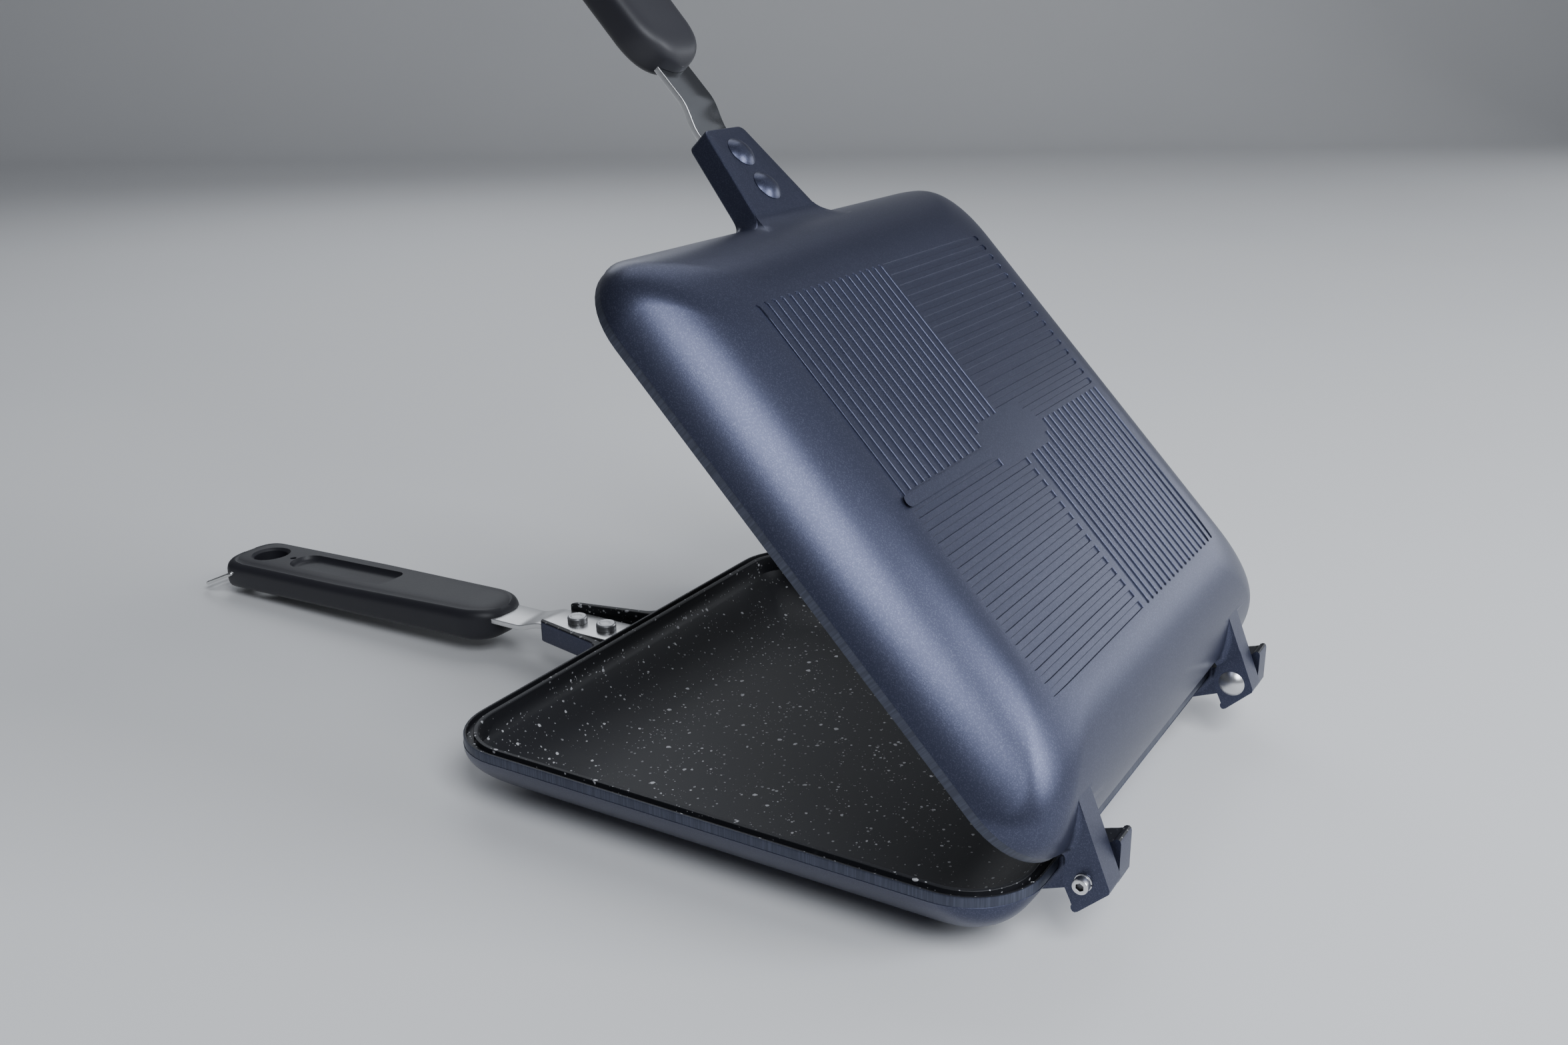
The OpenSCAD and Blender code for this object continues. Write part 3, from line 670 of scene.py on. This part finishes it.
def makeGrip(name):
    g = gripSize
    stops = [g["nose"] + g["noseLong"] * t for t in (0, 0.012, 0.03, 0.06, 0.1, 0.15, 0.2, 0.26, 0.33, 0.41, 0.5, 0.6, 0.72, 0.86, 1)]
    stops += [g["nose"] + g["noseLong"] + (g["far"] - g["tailLong"] - g["nose"] - g["noseLong"]) * i / 24 for i in range(1, 24)]
    stops += [g["far"] - g["tailLong"] * t for t in (1, 0.86, 0.72, 0.6, 0.48, 0.37, 0.27, 0.18, 0.11, 0.06, 0.02, 0)]
    body = loft(name, [gripRing(x) for x in stops])
    low = strapSize["seat"] - strapSize["drop"] - 0.1
    combine(body, makeBox("mouth", (-strapSize["tip"] - 0.1, -10.1, low), (-170, 10.1, low + 2.7)), "DIFFERENCE")
    w, t, zc = gripAt(g["hangX"])
    r, c = g["hangR"], g["chamfer"]
    profile = [(r + 2 * c, zc - t - c)] + [(r + c * k, zc - t + c * (1 - k)) for k in (1, 0.45, 0.15, 0)]
    profile = [(r + 2 * c, zc - t - c), (r + c * 0.9, zc - t + c * 0.12), (r + c * 0.35, zc - t + c * 0.6), (r, zc - t + c)]
    profile += [(a, 2 * zc - b) for a, b in reversed(profile)]
    combine(body, settle(turned("hangHole", profile, count=64), at(-g["hangX"])), "DIFFERENCE")
    w, t, zc = gripAt(g["pipX"])
    pip = turned("pip", [(g["pipR"], zc + t - g["pipDeep"]), (g["pipR"], zc + t - 0.5), (g["pipR"] + 1.2, zc + t + 0.7)], count=24)
    combine(body, settle(pip, at(-g["pipX"])), "DIFFERENCE")
    middle = (g["recessFrom"] + g["recessTo"]) / 2
    w, t, zc = gripAt(middle)
    tilt = Matrix.Rotation(-math.radians(g["recessFall"]), 4, "Y")
    combine(body, settle(makeRecess(), at(-middle, 0, zc + t) @ tilt), "DIFFERENCE")
    for side in (-1, 1):
        hole = turned("bailHole", [(g["bailR"], g["bailDeep"]), (g["bailR"], 30)], count=24)
        combine(body, settle(hole, at(-g["bailX"], 0, g["bailZ"]) @ Matrix.Rotation(-side * math.pi / 2, 4, "X")), "DIFFERENCE")
    return smooth(body)


# ---- wire bail

bailSize = {"radius": 1.0, "half": 21.1, "long": 22.7, "corner": 3.0, "foot": 1.5, "pin": 6.0, "below": 24}


def makeBail():
    b = bailSize
    path = [(0, b["half"] - b["pin"], 0, 1)]     # x, y and direction of half the wire, from a pin to the middle
    for a in range(0, 91, 15):
        s, c = math.sin(math.radians(a)), math.cos(math.radians(a))
        path.append((-b["foot"] * (1 - c), b["half"] - b["foot"] + b["foot"] * s, -s, c))
    for a in range(0, 91, 15):
        s, c = math.sin(math.radians(a)), math.cos(math.radians(a))
        path.append((-b["long"] + b["corner"] * (1 - s), b["half"] - b["corner"] * (1 - c), -c, -s))
    path.append((-b["long"], 0, 0, -1))
    path += [(x, -y, -dx, dy) for x, y, dx, dy in reversed(path[:-1])]
    rings = []
    for x, y, dx, dy in path:
        ring = []
        for i in range(16):
            a = 2 * math.pi * i / 16
            u, v = b["radius"] * math.cos(a), b["radius"] * math.sin(a)
            ring.append((x - dy * u, y + dx * u, v))
        rings.append(ring)
    body = loft("wireBail", rings)
    settle(body, at(-gripSize["bailX"], 0, gripSize["bailZ"]) @ Matrix.Rotation(-math.radians(b["below"]), 4, "Y"))
    return smooth(body, 50)


# ---- hinge bolts, along +Z from the seat of the domed head

bolt = {
    "long": 23, "barrel": 2.5, "dome": 5.2, "domeHigh": 2.4,
    "screw": 1.5, "screwLong": 15, "head": 2.75, "headHigh": 3.0, "hex": 2.5,
    "washer": 3.05, "washerBore": 1.6, "washerThick": 0.8, "split": 0.5,
    "spacer": 5.5, "spacerThick": 2.2, "spacerAt": 10.4,
}


def makeBarrelNut(name):
    b = bolt
    ball = (b["dome"] ** 2 + b["domeHigh"] ** 2) / (2 * b["domeHigh"])
    widest = math.asin(b["dome"] / ball)
    profile = [(max(0.02, (ball * math.sin(widest * i / 12))), -b["domeHigh"] + ball * (1 - math.cos(widest * i / 12)))
               for i in range(12)]
    profile += [(b["dome"] - 0.06, -0.14), (b["dome"], -0.06), (b["dome"] - 0.03, 0), (b["barrel"], 0), (b["barrel"], 22.7), (b["barrel"] - 0.2, 22.9),
                (b["screw"] + 0.05, 22.9), (b["screw"] + 0.05, 6.5), (0.02, 6)]
    return turned(name, profile, "pole", "pole")


def makeSocketScrew(name):
    b = bolt
    seat = b["long"] + b["washerThick"]
    top = seat + b["headHigh"]
    count = 48
    rings = [circle(r, h, count) for r, h in (
        (b["screw"] - 0.4, b["long"] - b["screwLong"]), (b["screw"], b["long"] - b["screwLong"] + 0.4), (b["screw"], seat),
        (b["head"] - 0.1, seat), (b["head"], seat + 0.1), (b["head"], top - 0.45), (b["head"] - 0.13, top - 0.13),
        (b["head"] - 0.45, top), (b["hex"] / 2 + 0.35, top))]

    def hexRing(grow, z):
        ring = []
        for i in range(count):
            a = 360 * i / count
            r = (b["hex"] / 2 + grow) / math.cos(math.radians((a + 30) % 60 - 30))
            ring.append((r * math.cos(math.radians(a)), r * math.sin(math.radians(a)), z))
        return ring

    rings += [hexRing(0.08, top), hexRing(0, top - 0.1), hexRing(0, top - 1.4), circle(0.02, top - 1.9, count)]
    # the hex socket takes the second slot, a darker steel that is painted shade in the recess
    return loft(name, rings, end="pole", finishes=[0] * (len(rings) - 3) + [1] * 4)


def makeSpringWasher(name):
    b = bolt
    mid, half = (b["washer"] + b["washerBore"]) / 2, (b["washer"] - b["washerBore"]) / 2
    gap = b["split"] / mid
    rings = []
    for i in range(41):
        a = gap / 2 + (2 * math.pi - gap) * i / 40
        ring = []
        for u, v, _ in roundRect(half, b["washerThick"] / 2, 0.15, 0, 2):
            ring.append(((mid + u) * math.cos(a), (mid + u) * math.sin(a), b["long"] + b["washerThick"] / 2 + v))
        rings.append(ring)
    return loft(name, rings)


def makeSpacer(name):
    b = bolt
    z0, z1 = b["spacerAt"], b["spacerAt"] + b["spacerThick"]
    r = b["spacer"]
    profile = [(2.55, z0 + 0.1), (2.65, z0), (r - 0.25, z0), (r, z0 + 0.25), (r, z1 - 0.25), (r - 0.25, z1), (2.65, z1), (2.55, z1 - 0.1)]
    return turned(name, profile, end="join")


# ---- gasket

gasketSize = {"in": 1.4, "out": 4.0, "low": 25.3, "proud": 28.6}


def makeGasket():
    g = gasketSize
    rings = []
    mid = (g["in"] + g["out"]) / 2
    section = [(g["in"], g["low"]), (g["in"], 27.4), (g["in"] + 0.15, 27.7)]
    section += [(mid - 0.95 * math.cos(math.radians(a)), g["proud"] - 0.75 + 0.75 * math.sin(math.radians(a))) for a in range(0, 181, 30)]
    section += [(g["out"] - 0.15, 27.7), (g["out"], 27.4), (g["out"], g["low"])]
    for inset, z in section:
        rings.append(panRing(inset, pan["corner"] - inset, z))
    return smooth(loft("rimSeal", rings, "open", "join"), 50)


# ---- materials

class Wire:
    def __init__(self, finish, socket):
        self.finish, self.socket = finish, socket

    def maths(self, operation, first, second=0.0, third=None):
        sockets = {0: first, 1: second}
        if third is not None:
            sockets[2] = third
        return self.finish.node("ShaderNodeMath", {"operation": operation}, sockets)

    def __add__(self, other):
        return self.maths("ADD", self, other)

    def __radd__(self, other):
        return self.maths("ADD", other, self)

    def __sub__(self, other):
        return self.maths("SUBTRACT", self, other)

    def __rsub__(self, other):
        return self.maths("SUBTRACT", other, self)

    def __mul__(self, other):
        return self.maths("MULTIPLY", self, other)

    def __rmul__(self, other):
        return self.maths("MULTIPLY", other, self)

    def __truediv__(self, other):
        return self.maths("DIVIDE", self, other)

    def __pow__(self, other):
        return self.maths("POWER", self, other)

    def __gt__(self, other):
        return self.maths("GREATER_THAN", self, other)

    def __lt__(self, other):
        return self.maths("LESS_THAN", self, other)

    def step(self, low, high):  # 0 below low, 1 above high, smooth between
        return self.finish.node("ShaderNodeMapRange", {"interpolation_type": "SMOOTHSTEP", "clamp": True},
                                {"Value": self, "From Min": low, "From Max": high})


class Finish:
    def __init__(self, name, back=None, roughness=0.5, metallic=0.0):
        self.material = bpy.data.materials.new(name)
        self.material.use_nodes = True
        self.tree = self.material.node_tree
        self.shader = self.tree.nodes["Principled BSDF"]
        self.shader.inputs["Roughness"].default_value = roughness
        self.shader.inputs["Metallic"].default_value = metallic
        self.place = self.node("ShaderNodeTexCoord", {}, {}, "Object")
        if back:
            spot, turn, _ = back.decompose()
            self.place = self.node("ShaderNodeMapping", {}, {
                "Vector": self.place, "Location": tuple(spot), "Rotation": tuple(turn.to_euler("XYZ"))})

    def node(self, kind, settings, sockets, output=0):
        made = self.tree.nodes.new(kind)
        for key, value in settings.items():
            if key == "stops":
                ramp = made.color_ramp
                while len(ramp.elements) < len(value):
                    ramp.elements.new(1.0)
                for stop, (where, colour) in zip(ramp.elements, value):
                    stop.position = where
                    stop.color = colour
            else:
                setattr(made, key, value)
        for key, value in sockets.items():
            if isinstance(value, Wire):
                self.tree.links.new(value.socket, made.inputs[key])
            else:
                made.inputs[key].default_value = value
        return Wire(self, made.outputs[output])

    def noise(self, scale, detail=2.0, rough=0.5, stretch=None, output="Fac"):
        place = self.place
        if stretch:
            place = self.node("ShaderNodeMapping", {}, {"Vector": place, "Scale": stretch})
        return self.node("ShaderNodeTexNoise", {}, {"Vector": place, "Scale": scale, "Detail": detail,
                                                    "Roughness": rough}, output)

    def blend(self, amount, first, second):  # colours; inputs 6 and 7 are the colour pair of Mix
        return self.node("ShaderNodeMix", {"data_type": "RGBA"}, {"Factor": amount, 6: first, 7: second}, 2)

    def bump(self, height, distance, strength=1.0):
        return self.node("ShaderNodeBump", {}, {"Height": height, "Distance": distance, "Strength": strength}, "Normal")

    # irregular spots: cells with a random size each, on bent coordinates
    def spots(self, scale, bend, bendScale, low, high, share):
        drift = self.node("ShaderNodeVectorMath", {"operation": "SUBTRACT"},
                          {0: self.noise(bendScale, 3.0, 0.6, output="Color"), 1: (0.5, 0.5, 0.5)})
        drift = self.node("ShaderNodeVectorMath", {"operation": "SCALE"}, {0: drift, "Scale": bend})
        place = self.node("ShaderNodeVectorMath", {"operation": "ADD"}, {0: self.place, 1: drift})
        cells = {"Vector": place, "Scale": scale, "Randomness": 1.0}
        far = self.node("ShaderNodeTexVoronoi", {}, cells, "Distance")
        pick = self.node("ShaderNodeTexVoronoi", {}, cells, "Color")
        red = self.node("ShaderNodeSeparateColor", {}, {"Color": pick}, "Red")
        green = self.node("ShaderNodeSeparateColor", {}, {"Color": pick}, "Green")
        size = (green * (high - low) + low) * (red < share)
        return (size - far).step(0.0, 0.05)

    def wear(self, **sockets):
        for name, value in sockets.items():
            key = {"colour": "Base Color", "roughness": "Roughness", "metallic": "Metallic", "normal": "Normal",
                   "coat": "Coat Weight", "coatRoughness": "Coat Roughness", "specular": "Specular IOR Level"}[name]
            if isinstance(value, Wire):
                self.tree.links.new(value.socket, self.shader.inputs[key])
            else:
                self.shader.inputs[key].default_value = value
        return self.material


def makePaint(name, back=None, sheen=0.30):
    f = Finish(name, back, metallic=0.75)
    grain = f.noise(2200, 3.0, 0.65)
    flakes = f.node("ShaderNodeTexVoronoi", {}, {"Vector": f.place, "Scale": 3400.0}, "Color")
    spark = f.node("ShaderNodeSeparateColor", {}, {"Color": flakes}, "Red").step(0.6, 1.0)
    cloud = f.noise(22, 3.0, 0.6)
    colour = f.blend(cloud, (0.048, 0.053, 0.088, 1), (0.058, 0.064, 0.106, 1))
    colour = f.blend(spark * 0.30, colour, (0.145, 0.157, 0.230, 1))
    return f.wear(colour=colour, roughness=grain * 0.10 + sheen, normal=f.bump(grain, 0.00003, 0.5), specular=0.5)


def makeBandPaint(name, back=None):
    f = Finish(name, back, metallic=0.5)
    hatch = f.noise(1.0, 2.0, 0.5, stretch=(1500, 1500, 60))
    cloud = f.noise(40, 2.0, 0.5)
    colour = f.blend(hatch.step(0.35, 0.75), (0.044, 0.050, 0.075, 1), (0.070, 0.079, 0.115, 1))
    return f.wear(colour=colour, roughness=0.34 + cloud * 0.12, normal=f.bump(hatch, 0.00003, 0.6))


def makeCoat(name, back=None):
    f = Finish(name, back)
    grain = f.noise(1600, 2.0, 0.6)
    big = f.spots(250.0, 0.0020, 420, 0.07, 0.27, 0.20)
    small = f.spots(470.0, 0.0012, 800, 0.08, 0.30, 0.42)
    dust = f.spots(800.0, 0.0008, 1100, 0.10, 0.28, 0.35)
    cluster = f.noise(55, 2.0, 0.5).step(0.38, 0.62)
    fine = f.node("ShaderNodeMath", {"operation": "MAXIMUM"}, {0: small * (0.4 + cluster * 0.6), 1: dust * cluster * 0.6})
    white = f.node("ShaderNodeMath", {"operation": "MAXIMUM"}, {0: big, 1: fine})
    colour = f.blend(white, (0.014, 0.0145, 0.018, 1), (0.62, 0.62, 0.64, 1))
    return f.wear(colour=colour, roughness=0.42 + grain * 0.14, normal=f.bump(grain + white * 0.5, 0.00004, 0.6),
                  specular=0.35)


def makeSteel(name, colour, low, high, stretch, depth, back=None, scale=1.0):
    f = Finish(name, back, metallic=1.0)
    lines = f.noise(scale, 3.0, 0.6, stretch=stretch)
    cloud = f.noise(90, 3.0, 0.6)
    shade = f.blend(cloud, tuple(c * 0.9 for c in colour) + (1,), tuple(min(1, c * 1.05) for c in colour) + (1,))
    return f.wear(colour=shade, roughness=low + lines * (high - low) + cloud * 0.06, normal=f.bump(lines, depth, 0.6))


def makePlastic(name, back=None):
    f = Finish(name, back)
    grain = f.noise(900, 3.0, 0.6)
    cloud = f.noise(18, 3.0, 0.6)
    colour = f.blend(cloud, (0.013, 0.013, 0.017, 1), (0.020, 0.020, 0.027, 1))
    return f.wear(colour=colour, roughness=0.40 + cloud * 0.10 + grain * 0.06, normal=f.bump(grain, 0.00004, 0.5))


def makeSilicone(name, back=None):
    f = Finish(name, back)
    grain = f.noise(700, 3.0, 0.6)
    colour = f.blend(grain, (0.020, 0.020, 0.021, 1), (0.030, 0.030, 0.032, 1))
    return f.wear(colour=colour, roughness=0.62 + grain * 0.1, normal=f.bump(grain, 0.00003, 0.5))


toCasting = lidMatrix.inverted()
lowerPaint = makePaint("lowerPaint")
upperPaint = makePaint("upperPaint", toCasting)
lowerDome = makePaint("lowerDomePaint", sheen=0.27)
upperDome = makePaint("upperDomePaint", toCasting, 0.27)
lowerCoat = makeCoat("lowerCoat")
upperCoat = makeCoat("upperCoat", toCasting)
lowerBand = makeBandPaint("lowerBand")
upperBand = makeBandPaint("upperBand", toCasting)
lowerSteel = makeSteel("lowerStrapSteel", (0.60, 0.60, 0.60), 0.20, 0.34, (90, 1500, 1500), 0.00001)
# the upper strap is the same steel as the lower one; its darker colour (0.34 against 0.60) is a painted dark reflection
upperSteelPaintedDark = makeSteel("upperStrapPaintedDarkSteel", (0.34, 0.35, 0.37), 0.10, 0.20, (90, 1500, 1500), 0.000008, toCasting)
# strap sides: rougher steel, and the lighter colour (0.80 against 0.60) is a painted highlight
edgeSteelPaintedLight = makeSteel("strapEdgePaintedLightSteel", (0.80, 0.80, 0.80), 0.30, 0.44, (90, 1500, 1500), 0.00001)
buttonSteel = makeSteel("buttonSteel", (0.56, 0.56, 0.57), 0.34, 0.46, (400, 400, 400), 0.00001)
boltChrome = makeSteel("boltChrome", (0.76, 0.76, 0.77), 0.24, 0.34, (500, 500, 500), 0.000006)
# hex socket steel: its dark colour is painted shade inside the recess
socketPaintedShade = makeSteel("socketPaintedShade", (0.16, 0.16, 0.17), 0.25, 0.40, (500, 500, 500), 0.000006)
wireSteel = makeSteel("wireSteel", (0.74, 0.74, 0.73), 0.14, 0.26, (300, 300, 300), 0.00001)
lowerPlastic = makePlastic("lowerPlastic")
upperPlastic = makePlastic("upperPlastic", toCasting)
silicone = makeSilicone("siliconeSeal", toCasting)
print("materials made")


# ---- put the pieces together

def place(piece, body, node, slot, *finishes):
    useFinishes(piece, *finishes)
    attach(piece, body)
    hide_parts(node)
    return piece


casting = makeCasting()
casting.name = casting.data.name = "lowerPan"
upper = settle(copyOf(casting, "upperPan"), lidMatrix)
place(casting, "base", "lower_pan", "cast_shell", lowerPaint, lowerCoat, lowerBand)
place(upper, "lid", "upper_pan", "cast_shell", upperPaint, upperCoat, upperBand)
print("pans placed")

strap = makeStrap("lowerStrap")
place(settle(copyOf(strap, "upperStrap"), lidMatrix), "lid", "upper_strap", "strap_steel", upperSteelPaintedDark, edgeSteelPaintedLight)
place(strap, "base", "lower_strap", "strap_steel", lowerSteel, edgeSteelPaintedLight)

for end, x in zip(("Outer", "Inner"), handle["rivets"]):
    rivet = settle(makeRivet("lowerRivet" + end), at(-x))
    twin = settle(copyOf(rivet, "upperRivet" + end), lidMatrix)
    place(twin, "lid", "upper_rivet_" + end.lower(), "rivet_metal", upperDome, buttonSteel)
    place(rivet, "base", "lower_rivet_" + end.lower(), "rivet_metal", lowerDome, buttonSteel)
print("straps and rivets placed")

grip = makeGrip("lowerGrip")
place(settle(copyOf(grip, "upperGrip"), lidMatrix), "lid", "upper_grip", "grip_plastic", upperPlastic)
place(grip, "base", "lower_grip", "grip_plastic", lowerPlastic)
place(makeBail(), "bail", "latch_bail", "wire_steel", wireSteel)
print("grips and bail placed")

seatOut = 72.5
nearAxis = at(hinge["x"], -seatOut, hinge["z"]) @ Matrix.Rotation(math.pi / 2, 4, "X")
farAxis = at(hinge["x"], seatOut, hinge["z"]) @ Matrix.Rotation(-math.pi / 2, 4, "X")
for side, axis in (("near", nearAxis), ("far", farAxis)):
    for part, node, make in (("BarrelNut", "_barrel_nut", makeBarrelNut), ("SocketScrew", "_socket_screw", makeSocketScrew),
                             ("SpringWasher", "_spring_washer", makeSpringWasher), ("Spacer", "_spacer", makeSpacer)):
        metals = (boltChrome, socketPaintedShade) if part == "SocketScrew" else (boltChrome,)
        place(smooth(settle(make(side + part), axis)), "base", side + node, "bolt_steel", *metals)
print("hinge bolts placed")

place(settle(makeGasket(), lidMatrix), "lid", "rim_gasket", "seal", silicone)
print("seal placed")


# ---- camera, floor and light

view = {
    "azimuth": 31.37055748756195, "elevation": 19.165760006990528, "roll": -0.7242293498786482,
    "distance": 891.2032212337092, "look": (-171.8639, 222.0929, 0), "focalPixels": 2264.983156396399, "imageWide": 2352,
}


def makeCamera():
    a, e, roll = (math.radians(view[k]) for k in ("azimuth", "elevation", "roll"))
    back = Vector((math.sin(a) * math.cos(e), -math.cos(a) * math.cos(e), math.sin(e)))
    right = Vector((math.cos(a), math.sin(a), 0))
    up = back.cross(right)
    side = right * math.cos(roll) + up * math.sin(roll)
    head = up * math.cos(roll) - right * math.sin(roll)
    spot = (Vector(view["look"]) + back * view["distance"]) * mm
    bpy.ops.object.camera_add()
    camera = bpy.context.object
    camera.matrix_world = Matrix.Translation(spot) @ Matrix((side, head, back)).transposed().to_4x4()
    camera.data.sensor_width = 36
    camera.data.sensor_fit = "HORIZONTAL"
    camera.data.lens = 36 * view["focalPixels"] / view["imageWide"]
    camera.data.clip_start = 0.01
    camera.data.clip_end = 50
    bpy.context.scene.camera = camera


def addLight(name, size, sizeY, power, spot, aim, colour=(1, 1, 1)):
    pickNothing()
    bpy.ops.object.light_add(type="AREA", location=spot)
    lamp = bpy.context.object
    lamp.name = name
    lamp.data.shape = "RECTANGLE"
    lamp.data.size, lamp.data.size_y = size, sizeY
    lamp.data.energy = power
    lamp.data.color = colour
    lamp.rotation_euler = (Vector(aim) - Vector(spot)).to_track_quat("-Z", "Y").to_euler()


makeCamera()

# a pale floor that curves up far behind the pan
sweep = {"half": 6, "away": 3.2, "high": 1.2, "radius": 0.7}


def makeFloor():
    pickNothing()
    bpy.ops.mesh.primitive_plane_add(size=2 * sweep["half"], location=(0, sweep["away"] - sweep["half"], 0))
    floor = bpy.context.object
    floor.name = floor.data.name = "floor"
    bpy.ops.object.transform_apply(location=True, rotation=True, scale=True)
    bpy.ops.object.mode_set(mode="EDIT")
    for stage in ("raise", "bend"):
        bpy.ops.mesh.select_all(action="DESELECT")
        shape = bmesh.from_edit_mesh(floor.data)
        for v in shape.verts:
            v.select = v.co.y > sweep["away"] - 0.01 and v.co.z < 0.01
        shape.select_flush(True)
        bmesh.update_edit_mesh(floor.data)
        if stage == "raise":
            bpy.ops.mesh.extrude_edges_move(TRANSFORM_OT_translate={"value": (0, 0, sweep["high"])})
        else:
            bpy.ops.mesh.bevel(offset=sweep["radius"], segments=24, affect="EDGES")
    bpy.ops.object.mode_set(mode="OBJECT")
    settle(floor, Matrix.Rotation(math.radians(view["azimuth"]), 4, "Z"))
    return smooth(floor, 60)


floor = makeFloor()
floorFinish = Finish("paleFloor", roughness=0.75)
floorCloud = floorFinish.noise(3, 2.0, 0.5)
useFinishes(floor, floorFinish.wear(colour=floorFinish.blend(floorCloud, (0.78, 0.78, 0.78, 1), (0.81, 0.81, 0.81, 1)),
                                    roughness=0.7 + floorCloud * 0.1))

addLight("keyLight", 0.8, 0.8, 22, (0.95, -0.75, 1.25), (0.05, -0.05, 0.12), (0.90, 0.94, 1))
addLight("backLight", 1.6, 0.7, 13, (1.3, 2.2, 0.55), (0.1, 0.2, 0.05), (0.90, 0.94, 1))
addLight("rightLight", 0.8, 0.8, 25, (1.7, 0.35, 0.9), (0.15, 0.1, 0), (0.90, 0.94, 1))
addLight("highLight", 1.8, 1.8, 3, (0.9, 1.6, 1.9), (0.1, 0, 0.1), (0.90, 0.94, 1))
addLight("topLight", 1.2, 1.2, 7, (-0.6, 0.9, 1.7), (-0.2, 0, 0), (0.90, 0.94, 1))
addLight("leftLight", 0.8, 0.8, 3.5, (-1.3, 1.1, 1.0), (-0.2, 0, 0.05), (0.90, 0.94, 1))

world = bpy.data.worlds.new("studio")
bpy.context.scene.world = world
world.use_nodes = True
world.node_tree.nodes["Background"].inputs["Color"].default_value = (0.86, 0.90, 1, 1)
world.node_tree.nodes["Background"].inputs["Strength"].default_value = 0.10
print("camera, floor and light set")
